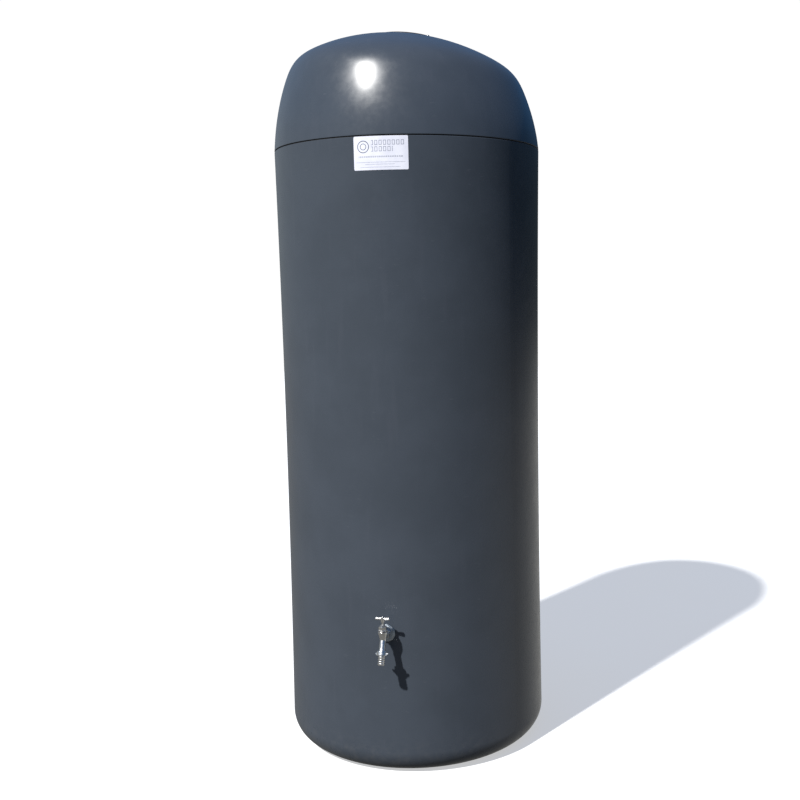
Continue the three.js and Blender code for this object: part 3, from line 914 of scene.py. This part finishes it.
def make_strainer_mesh():
    """The strainer's woven wire: a square weave in the floor and a round one up the side."""
    pitch, thick, amplitude = 4.0, 0.42, 0.35
    build = bmesh.new()
    floor = 4.8 - BASKET_DEPTH
    woven_disc(build, basket_radius(BASKET_DEPTH) - 4.0, pitch, thick, amplitude, floor)
    top, bottom = -12.0, -BASKET_DEPTH + 5.5
    uprights = 128
    levels = int((top - bottom) / pitch)

    def on_side(turn, z, wave):
        radius = basket_radius(-z) - 4.0 + amplitude * wave
        return Vector((radius * math.cos(turn), radius * math.sin(turn), z))

    for i in range(uprights):
        steps = 2 * levels
        wire(build, [on_side(TURN * i / uprights, bottom + (top - bottom) * j / steps,
                             math.cos(math.pi * j / 2) * (-1) ** i)
                     for j in range(steps + 1)], thick)
    for j in range(levels + 1):
        steps = 2 * uprights
        wire(build, [on_side(TURN * i / steps, bottom + (top - bottom) * j / levels,
                             -math.cos(math.pi * i / 2) * (-1) ** j)
                     for i in range(steps)], thick, closed=True)
    weave = moved(finished("strainer_wire", build), SEAT)
    weave.data.shade_smooth()
    shown(weave, "strainer", "steel_mesh", "strainer_mesh")
    collar = turned_ring("strainer_collar", [
        (basket_radius(17) - 3.9, -17.5), (basket_radius(17) - 2.9, -17.5),
        (basket_radius(17) - 2.9, -8), (basket_radius(17) - 3.9, -8)], 0.2, 160)
    moved(collar, SEAT)
    shown(collar, "strainer", "steel_mesh")


# ---- the outlet and the tap


def leant(piece):
    """Leans a piece made about the spindle's line out to the line of the tap's leg."""
    pivot = Vector((0, 0, LEG_PIVOT)) * MM
    lean = Matrix.Rotation(-LEG_LEAN, 4, "X")
    return moved(piece, Matrix.Translation(pivot) @ lean @ Matrix.Translation(-pivot))


def on_tap(piece):
    return shifted(piece, *TAP)


def on_leg(piece):
    return on_tap(leant(piece))


def ridges(radius, depth, low, high, pitch):
    """The outline of a run of thread ridges from low to high."""
    points = []
    count = int((high - low) / pitch)
    for i in range(count):
        z = low + i * pitch
        points += [(radius - depth, z + 0.1 * pitch), (radius, z + 0.5 * pitch)]
    points.append((radius - depth, low + count * pitch))
    return points


def make_outlet():
    """The flanged fitting in the wall, its washers, and the nut inside."""
    face = WALL_FACE
    flange = turned_ring("outlet_flange", [
        (10.9, face - 15.6), (12.6, face - 15.9), (12.9, face - 9.2), (14.2, face - 7.8),
        (20.6, face - 7.8), (21.4, face - 7.0), (24.2, face - 7.0), (25, face - 6.0),
        (25, face - 3.4), (13.1, face - 3.4),
        *ridges(13.1, 0.7, face - 3.2, face + 22.5, 1.8), (10.9, face + 23)], 0.5, 128, 3, 40)
    collar = hexagonal("collar", 27, face - 13.6, face - 7.4, 12.2)
    joined(flange, collar, angle=30)
    on_tap(moved(flange, ALONG_Y))
    # The flange's blue-grey tint is painted sky reflection on nickel plate.
    shown(flange, "barrel", "satin_nickel", "outlet_fitting")
    for name, node, low, high in (
        ("outer_washer", "outlet_outer_washer", face - 3.2, face + 0.6),
        ("inner_washer", "outlet_inner_washer", face + 6.2, face + 9.2),
    ):
        washer = sleeve(name, 13.4, 23, low, high, 0.5)
        on_tap(moved(washer, ALONG_Y))
        shown(washer, "barrel", "rubber", node)
    nut = hexagonal("outlet_nut", 40, face + 9.4, face + 18, 13.5)
    on_tap(moved(nut, ALONG_Y))
    shown(nut, "barrel", "satin_nickel", "outlet_backnut")


def make_tap_body():
    """The funnel over its leaning leg and the side inlet, cast in one, then machined."""
    casting = turned("tap_casting", [
        (0, -13.4), (7.4, -13.4), (9.2, -11.4), (9.7, -2.5), (13.5, 14.5), (13.9, 17),
        (13.9, 19.6), (13.5, 20), (0, 20)], 1.6, 96, 4)
    leg = turned("leg", [
        (0, -35.5), (9.4, -35.5), (8.8, -31), (8.7, -8), (8.7, 2), (0, 2)], 1.6, 96, 4)
    face = WALL_FACE
    inlet = moved(turned("inlet", [
        (0, 0), (9.2, 2), (9.2, face - 27), (9.9, face - 25.5), (9.9, face - 17.5),
        (9.2, face - 16.4), (9.2, face - 13.2), (0, face - 13)], 0.8, 96), ALONG_Y)
    joined(casting, leant(leg), inlet)
    cast(casting, 0.42, 6)
    flats = moved(hexagonal("flats", 20.4, face - 25.4, face - 17.6, 6), ALONG_Y)
    thread = turned_ring("leg_thread", [
        (6.5, -42.8), (11.4, -42.8), *ridges(12.2, 0.8, -42.4, -36.6, 1.814), (11.8, -36),
        (9.0, -35.2), (6.5, -35.2)], 0.2, 96)
    stub = turned_ring("stub", [
        (6.4, face - 15), (9.6, face - 15), *ridges(10.4, 0.7, face - 14, face + 8, 1.814),
        (9.4, face + 9), (6.4, face + 9)], 0.2, 96)
    joined(casting, flats, leant(thread), moved(stub, ALONG_Y), angle=38)
    headway = turned("headway", [
        (0, -12.5), (5, -12.5), (5, -7), (7.4, -7), (7.4, -1), (10.6, 8), (10.6, 22), (0, 22)],
        0.01, 64, 1)
    leg_bore = leant(rod("leg_bore", 6.5, -44, -11))
    inlet_bore = moved(rod("inlet_bore", 6.4, 0, face + 12), ALONG_Y)
    cut(casting, headway, leg_bore, inlet_bore, angle=38)
    on_tap(casting)
    shown(casting, "barrel", "nickel", "tap_body")


def make_headworks():
    washer = on_tap(sleeve("joint_washer", 10.6, 13.3, 20.2, 22.1, 0.4))
    shown(washer, "barrel", "fibre", "bonnet_washer")
    collar = turned_ring("bonnet", [
        (10.0, 10), (10.0, 22.3), (13.5, 22.3), (13.5, 24.3), (12.2, 25.0), (10, 25.6),
        (5.4, 25.6), (5.4, 10)], 0.4, 96)
    flats = hexagonal("flats", 21, 25.0, 34.5, 4.8, 0.93)
    joined(collar, flats, angle=28)
    on_tap(collar)
    shown(collar, "barrel", "nickel", "tap_bonnet")
    packing = on_tap(sleeve("packing", 3.1, 4.5, 30.3, 32.2, 0.4, 64))
    shown(packing, "barrel", "rubber", "gland_packing")
    gland = hexagonal("gland", 12, 34.8, 38.6, 3.2, 0.92)
    spigot = sleeve("spigot", 3.2, 4.4, 32.5, 35.4, 0.2, 64)
    joined(gland, spigot, angle=28)
    on_tap(gland)
    shown(gland, "barrel", "nickel", "gland_nut")


def make_spindle():
    stem = on_tap(turned("spindle_stem", [
        (0, 6), (2.7, 6), (2.7, -1.4), (4.9, -1.4), *ridges(5.0, 0.5, 0, 20.5, 2.5),
        (4.4, 20.8), (2.9, 21.8), (2.9, STEM_TOP - 0.6), (2.4, STEM_TOP), (2, STEM_TOP),
        (2, STEM_TOP - 8), (0, STEM_TOP - 8)], 0.2, 64))
    shown(stem, "spindle", "nickel", "spindle")
    disc = on_tap(turned("valve", [
        (0, -6), (1.3, -6), (1.3, -3.9), (6.5, -3.9), (6.6, -1.7), (2.4, -1.7), (2.4, 5.7),
        (0, 5.7)], 0.25, 64))
    shown(disc, "valve", "nickel", "valve_disc")
    washer = on_tap(sleeve("valve_washer", 1.6, 6.3, -6.7, -4.2, 0.5, 64))
    shown(washer, "valve", "rubber", "seat_washer")


def make_handle():
    """The tee: a boss with two arms that thicken to rounded ends, cast in one."""
    half = 22.0
    low, high = STEM_TOP - 9.9, STEM_TOP + 6.1
    ring = 4.6
    bar = turned("tee", [
        (0, -half), (3.0, 0.6 - half), (ring, 3.6 - half), (4.2, 8 - half), (3.5, 5 - half / 2),
        (3.6, 0), (3.5, half / 2 - 5), (4.2, half - 8), (ring, half - 3.6), (3.0, half - 0.6),
        (0, half)], 2.0, 64, 4)
    moved(bar, Matrix.Rotation(math.pi / 2, 4, "Y"))
    spun(bar, TEE_TURN)
    shifted(bar, 0, 0, STEM_TOP + 1.5)
    boss = turned("boss", [
        (0, low), (4.6, low), (5.0, low + 2), (5.2, low + 8), (5.2, high - 0.5), (4.8, high),
        (0, high)], 0.8, 64)
    joined(bar, boss)
    cast(bar, 0.32, 5)
    socket = rod("socket", 3.2, low - 3, STEM_TOP + 1)
    hole = rod("hole", 2.0, STEM_TOP, high + 2)
    cut(bar, socket, hole, angle=40)
    on_tap(bar)
    shown(bar, "spindle", "nickel", "tee_handle")
    head = STEM_TOP + 6.5
    screw = turned("tee_screw", [
        (0, STEM_TOP - 7), (1.7, STEM_TOP - 7), (1.7, head), (3.2, head), (3.0, head + 0.9),
        (2.1, head + 1.6), (0, head + 1.9)], 0.3, 48)
    slot = box("slot", (-3.4, -0.4, head + 0.9), (3.4, 0.4, head + 3.5))
    cut(screw, spun(slot, 0.7))
    on_tap(screw)
    shown(screw, "spindle", "stainless", "handle_screw")


def make_union():
    """The winged union nut, the hose tail with its barbs, and the washer between."""
    core = turned_ring("wing_nut", [
        (10.9, -49.6), (13.4, -49.6), (14.4, -48.4), (14.4, -37), (13.4, -35.5), (12.8, -35.5),
        (12.8, -47.4), (10.9, -47.4)], 0.7, 96)
    wing = [(13.0, -48.2), (15.0, -48.2), (17.8, -46.4), (19.8, -44.4), (20.8, -42.6),
            (20.6, -41.3), (19.4, -40.6), (17.6, -40.9), (13.0, -41.4)]
    blades = [spun(extruded("wing", wing, 4.0), WING_TURN + turn) for turn in (0, math.pi)]
    joined(core, *blades)
    cast(core, 0.32, 5)
    cut(core, rod("clear", 12.6, -47.3, -30, 96), angle=40)
    on_leg(core)
    shown(core, "union_nut", "nickel", "union_nut")
    washer = on_leg(sleeve("hose_washer", 7.2, 11.9, -45, -43.4, 0.4, 64))
    shown(washer, "hose_tail", "rubber", "tail_washer")
    top, pitch, barbs, root = -51.5, 6.0, 4, 8.8
    steps = []
    for i in range(barbs, 0, -1):
        low = top - pitch * i
        steps += [(root, low + 0.1), (10.4, low + pitch - 1.7), (10.3, low + pitch - 1.2),
                  (root, low + pitch - 0.5)]
    tail = turned_ring("tail", [
        (7.2, top - pitch * barbs), *steps, (9.2, -50.8), (9.2, -47.1), (12.1, -47.1),
        (12.1, -45.3), (7.2, -45.3)], 0.35, 96)
    on_leg(tail)
    shown(tail, "hose_tail", "nickel", "hose_tail")


# ---- the overflow


def on_overflow(piece):
    wall = shell_radius(OVERFLOW.z)
    return shifted(moved(piece, ALONG_Y), 0, wall, OVERFLOW.z)


def fluted(name, inner, outer, low, high, flutes, depth, segments=240):
    """A ring about Z whose outside has shallow grips."""
    def ring(radius, height, grip):
        def radius_at(turn):
            return radius - (depth * max(0.0, math.cos(flutes * turn)) if grip else 0)

        return shaped_ring(radius_at, lambda r: height, segments)

    rings = [ring(inner, low, False), ring(outer - 0.8, low, True), ring(outer, low + 0.8, True),
             ring(outer, high - 1.5, True), ring(outer - 1.2, high, False),
             ring(inner, high, False)]
    return loft(name, rings, closed=True, angle=50)


def make_overflow():
    body = turned_ring("overflow_flange", [
        (21.5, -24), (24.6, -24), *ridges(25, 0.8, -23.5, 3, 2.3), (25, 3.4), (38, 3.4), (38, 5.6),
        (36.4, 7.6), (27, 7.9), (25, 9.5), (25, 41.2), (24.4, 42), (21.5, 42)], 0.6, 128)
    on_overflow(body)
    shown(body, "barrel", "grey_plastic", "overflow_body")
    for name, node, low, high in (
        ("overflow_seal_out", "overflow_outer_washer", 0.2, 3.2),
        ("overflow_seal_in", "overflow_inner_washer", -9.2, -6.6),
    ):
        washer = on_overflow(sleeve(name, 25.2, 36, low, high, 0.6))
        shown(washer, "barrel", "rubber", node)
    nut = on_overflow(hexagonal("overflow_nut", 66, -19, -9.4, 25.3, 0.95))
    shown(nut, "barrel", "grey_plastic", "overflow_backnut")
    lip = 43.6
    cap = fluted("overflow_cap", 25.4, 28.5, lip - 14, lip + 0.4, 30, 0.5)
    face = turned_ring("cap_face", [
        (21.5, lip), (28.0, lip), (28.0, lip + 0.9), (27, lip + 2), (22.3, lip + 2),
        (21.5, lip + 1.3)], 0.5, 128)
    joined(cap, face, angle=40)
    on_overflow(cap)
    shown(cap, "overflow_screen", "grey_plastic", "overflow_screen_ring")
    make_overflow_mesh(lip)


def make_overflow_mesh(lip):
    """Woven wire across the overflow's mouth, held in a thin rim."""
    reach, pitch, thick, amplitude = 24.2, 2.0, 0.2, 0.16
    build = bmesh.new()
    woven_disc(build, reach, pitch, thick, amplitude, lip - 0.8)
    weave = on_overflow(finished("overflow_wire", build))
    weave.data.shade_smooth()
    shown(weave, "overflow_screen", "steel_mesh", "overflow_screen")
    rim = on_overflow(sleeve("overflow_wire_rim", 23.4, 24.7, lip - 1.2, lip - 0.4, 0.2, 96))
    shown(rim, "overflow_screen", "steel_mesh")


# ---- floor, light and camera


FLOOR_RADIUS = 14.0


def glowing(m, colour, strength):
    """A matt paint that also gives off a white light of its own."""
    return m.set(Base_Color=colour, Roughness=1.0, Specular_IOR_Level=0.0,
                 Emission_Color=(1.0, 1.0, 1.0), Emission_Strength=strength)


def make_floor():
    """A pale floor that catches the shadow but throws no light back on the barrel."""
    build = bmesh.new()
    bmesh.ops.create_circle(build, cap_ends=True, radius=FLOOR_RADIUS, segments=96)
    floor = finished("floor", build)
    m = Finish("floor_paint")
    paint = m.mix(m.ramp(m.noise(0.5, 3), 0.3, 0.7), (0.52, 0.52, 0.52), (0.50, 0.50, 0.50))
    floor.data.materials.append(glowing(m, paint, 0.52))
    hidden_from_light(floor)


def hidden_from_light(piece):
    for seen_by in ("visible_diffuse", "visible_glossy", "visible_transmission",
                    "visible_volume_scatter"):
        setattr(piece, seen_by, False)


def make_backdrop():
    """A white dome far round the object, which only the camera sees."""
    build = bmesh.new()
    bmesh.ops.create_uvsphere(build, u_segments=64, v_segments=32, radius=FLOOR_RADIUS - 0.1)
    bmesh.ops.reverse_faces(build, faces=build.faces)
    backdrop = finished("backdrop", build)
    m = Finish("backdrop_paint")
    backdrop.data.materials.append(glowing(m, (0.0, 0.0, 0.0), 1.02))
    hidden_from_light(backdrop)
    backdrop.visible_shadow = False


def make_lights():
    """One sun, from the front left. Its azimuth is taken from -Y towards +X."""
    azimuth, elevation, away = math.radians(-30), math.radians(46.5), 8
    towards = Vector((math.sin(azimuth) * math.cos(elevation),
                      -math.cos(azimuth) * math.cos(elevation), math.sin(elevation)))
    centre = (cad_low + cad_high) / 2
    key = bpy.data.lights.new("key", "SUN")
    key.energy = 5.8
    key.angle = math.radians(1.5)
    key.color = (1.0, 0.985, 0.96)
    lamp = bpy.data.objects.new("key", key)
    scene.collection.objects.link(lamp)
    lamp.location = centre + away * towards
    lamp.rotation_euler = (centre - lamp.location).to_track_quat("-Z", "Y").to_euler()


def make_world():
    """Light from all round: pale ground below, a mostly dark horizon and a blue sky above it."""
    world = bpy.data.worlds.new("surroundings")
    scene.world = world
    w = Nodes(world)
    place = w.add("ShaderNodeTexCoord").outputs["Generated"]

    def along(direction, low, high):
        """How far a view lies along a direction, spread from 0 at low to 1 at high."""
        dot = w.add("ShaderNodeVectorMath", {0: place, 1: direction}, operation="DOT_PRODUCT")
        inputs = {"From Min": low, "From Max": high, "Value": dot.outputs["Value"]}
        return w.add("ShaderNodeMapRange", inputs).outputs["Result"]

    rise = along((0, 0, 1), -1, 1)

    def bands(*stops):
        """Colours that change with height, from -1 straight down to 1 straight up."""
        ramp = w.add("ShaderNodeValToRGB", {"Fac": rise})
        steps = ramp.color_ramp.elements
        while len(steps) < len(stops):
            steps.new(0.5)
        for step, (height, colour) in zip(steps, stops):
            step.position = (height + 1) / 2
            step.color = (*colour, 1)
        return ramp.outputs["Color"]

    sky = (0.035, 0.10, 0.26)
    front = bands((-1.0, (0.15, 0.15, 0.145)), (-0.12, (0.24, 0.24, 0.23)),
                  (-0.02, (0.06, 0.07, 0.07)), (0.10, (0.03, 0.045, 0.05)),
                  (0.26, (0.045, 0.12, 0.26)), (1.0, sky))
    left = bands((-1.0, (0.15, 0.15, 0.145)), (-0.12, (0.26, 0.26, 0.25)),
                 (-0.02, (0.27, 0.30, 0.31)), (0.16, (0.34, 0.39, 0.43)),
                 (0.40, (0.14, 0.24, 0.40)), (1.0, sky))
    behind = bands((-1.0, (0.25, 0.25, 0.24)), (-0.30, (0.55, 0.55, 0.53)),
                   (-0.14, (0.50, 0.50, 0.48)), (-0.04, (0.06, 0.07, 0.07)),
                   (0.10, (0.03, 0.045, 0.05)), (0.30, (0.06, 0.16, 0.34)), (1.0, sky))
    colour = w.mix(along((0.7, 0.7, 0), 0.25, 0.7), front, behind)
    colour = w.mix(along((-1, 0, 0), 0.1, 0.7), colour, left)
    background = w.tree.nodes["Background"]
    w.feed(background.inputs["Color"], colour)
    w.feed(background.inputs["Strength"], 1.0)


def make_camera():
    """The camera stands in front of the barrel, a little to its right, tipped slightly down."""
    distance, height = 3.194, 1.422
    azimuth, pitch = math.radians(12.57), 0.1157
    yaw, roll = 0.0571, -0.0143
    heading = yaw - azimuth
    forward = Vector((math.sin(heading) * math.cos(pitch), math.cos(heading) * math.cos(pitch),
                      -math.sin(pitch)))
    level = Vector((math.cos(heading), -math.sin(heading), 0))
    upright = level.cross(forward)
    right = level * math.cos(roll) + upright * math.sin(roll)
    up = upright * math.cos(roll) - level * math.sin(roll)
    data = bpy.data.cameras.new("camera")
    data.sensor_width = 36
    data.lens = 45.53
    data.shift_x = -0.0876
    camera = bpy.data.objects.new("camera", data)
    scene.collection.objects.link(camera)
    place = Vector((math.sin(azimuth), -math.cos(azimuth), 0)) * distance
    place.z = height
    turn = Matrix((right, up, -forward)).transposed().to_4x4()
    camera.matrix_world = Matrix.Translation(place) @ turn
    scene.camera = camera


cad_low, cad_high = (Vector(corner) for corner in cad_box)
scene.view_settings.view_transform = "Standard"

make_camera()
make_lights()
make_world()
make_floor()
make_backdrop()

make_shell()
make_label()
make_seal()
make_lid()
make_inlet_ring()
make_inlet_screws()
make_basket()
make_strainer_mesh()
make_outlet()
make_tap_body()
make_headworks()
make_spindle()
make_handle()
make_union()
make_overflow()
